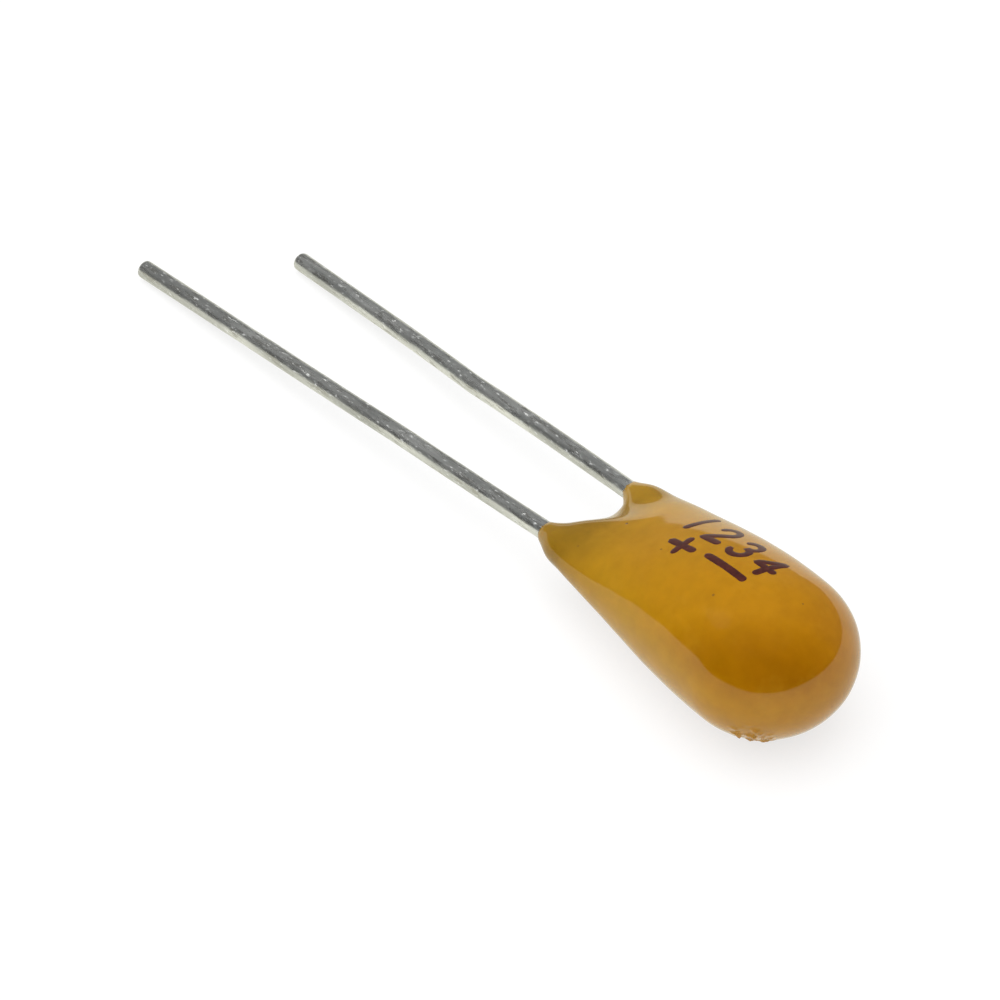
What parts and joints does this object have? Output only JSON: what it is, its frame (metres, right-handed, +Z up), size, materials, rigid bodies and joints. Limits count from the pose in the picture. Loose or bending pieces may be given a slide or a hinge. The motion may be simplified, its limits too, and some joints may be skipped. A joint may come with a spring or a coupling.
{
  "type": "tantalum bead capacitor",
  "caption": "Dipped bead of glossy amber epoxy with a tapered flat neck, and long tinned wire leads on a 2.54 mm pitch, laid down on its side.",
  "frame": {"origin": "on the surface that the part lies on, under the middle of its box", "axes": "+X from the cut ends of the leads toward the closed tip of the bulb, +Y from the positive lead toward the negative lead, +Z up from the surface that the part lies on"},
  "size_m": [0.0246, 0.0056, 0.004],
  "materials": {
    "amber_epoxy": "glossy dipped epoxy, mustard to amber",
    "tinned_wire": "dull tinned wire with fine streaks",
    "sintered_tantalum": "matt sintered metal",
    "tantalum_wire": "satin drawn wire",
    "white_ptfe": "waxy matt",
    "manganese_dioxide": "rough matt brown-black",
    "graphite": "soft dark sheen",
    "silver_paint": "satin metallic paint",
    "solder": "satin solder"
  },
  "bodies": {
    "root": {"epoxy_coating": "amber_epoxy", "positive_lead": "tinned_wire", "negative_lead": "tinned_wire", "anode_pellet": "sintered_tantalum", "riser_wire": "tantalum_wire", "insulating_washer": "white_ptfe", "manganese_dioxide_layer": "manganese_dioxide", "graphite_layer": "graphite", "silver_layer": "silver_paint", "cathode_solder": "solder"}
  },
  "joints": []
}
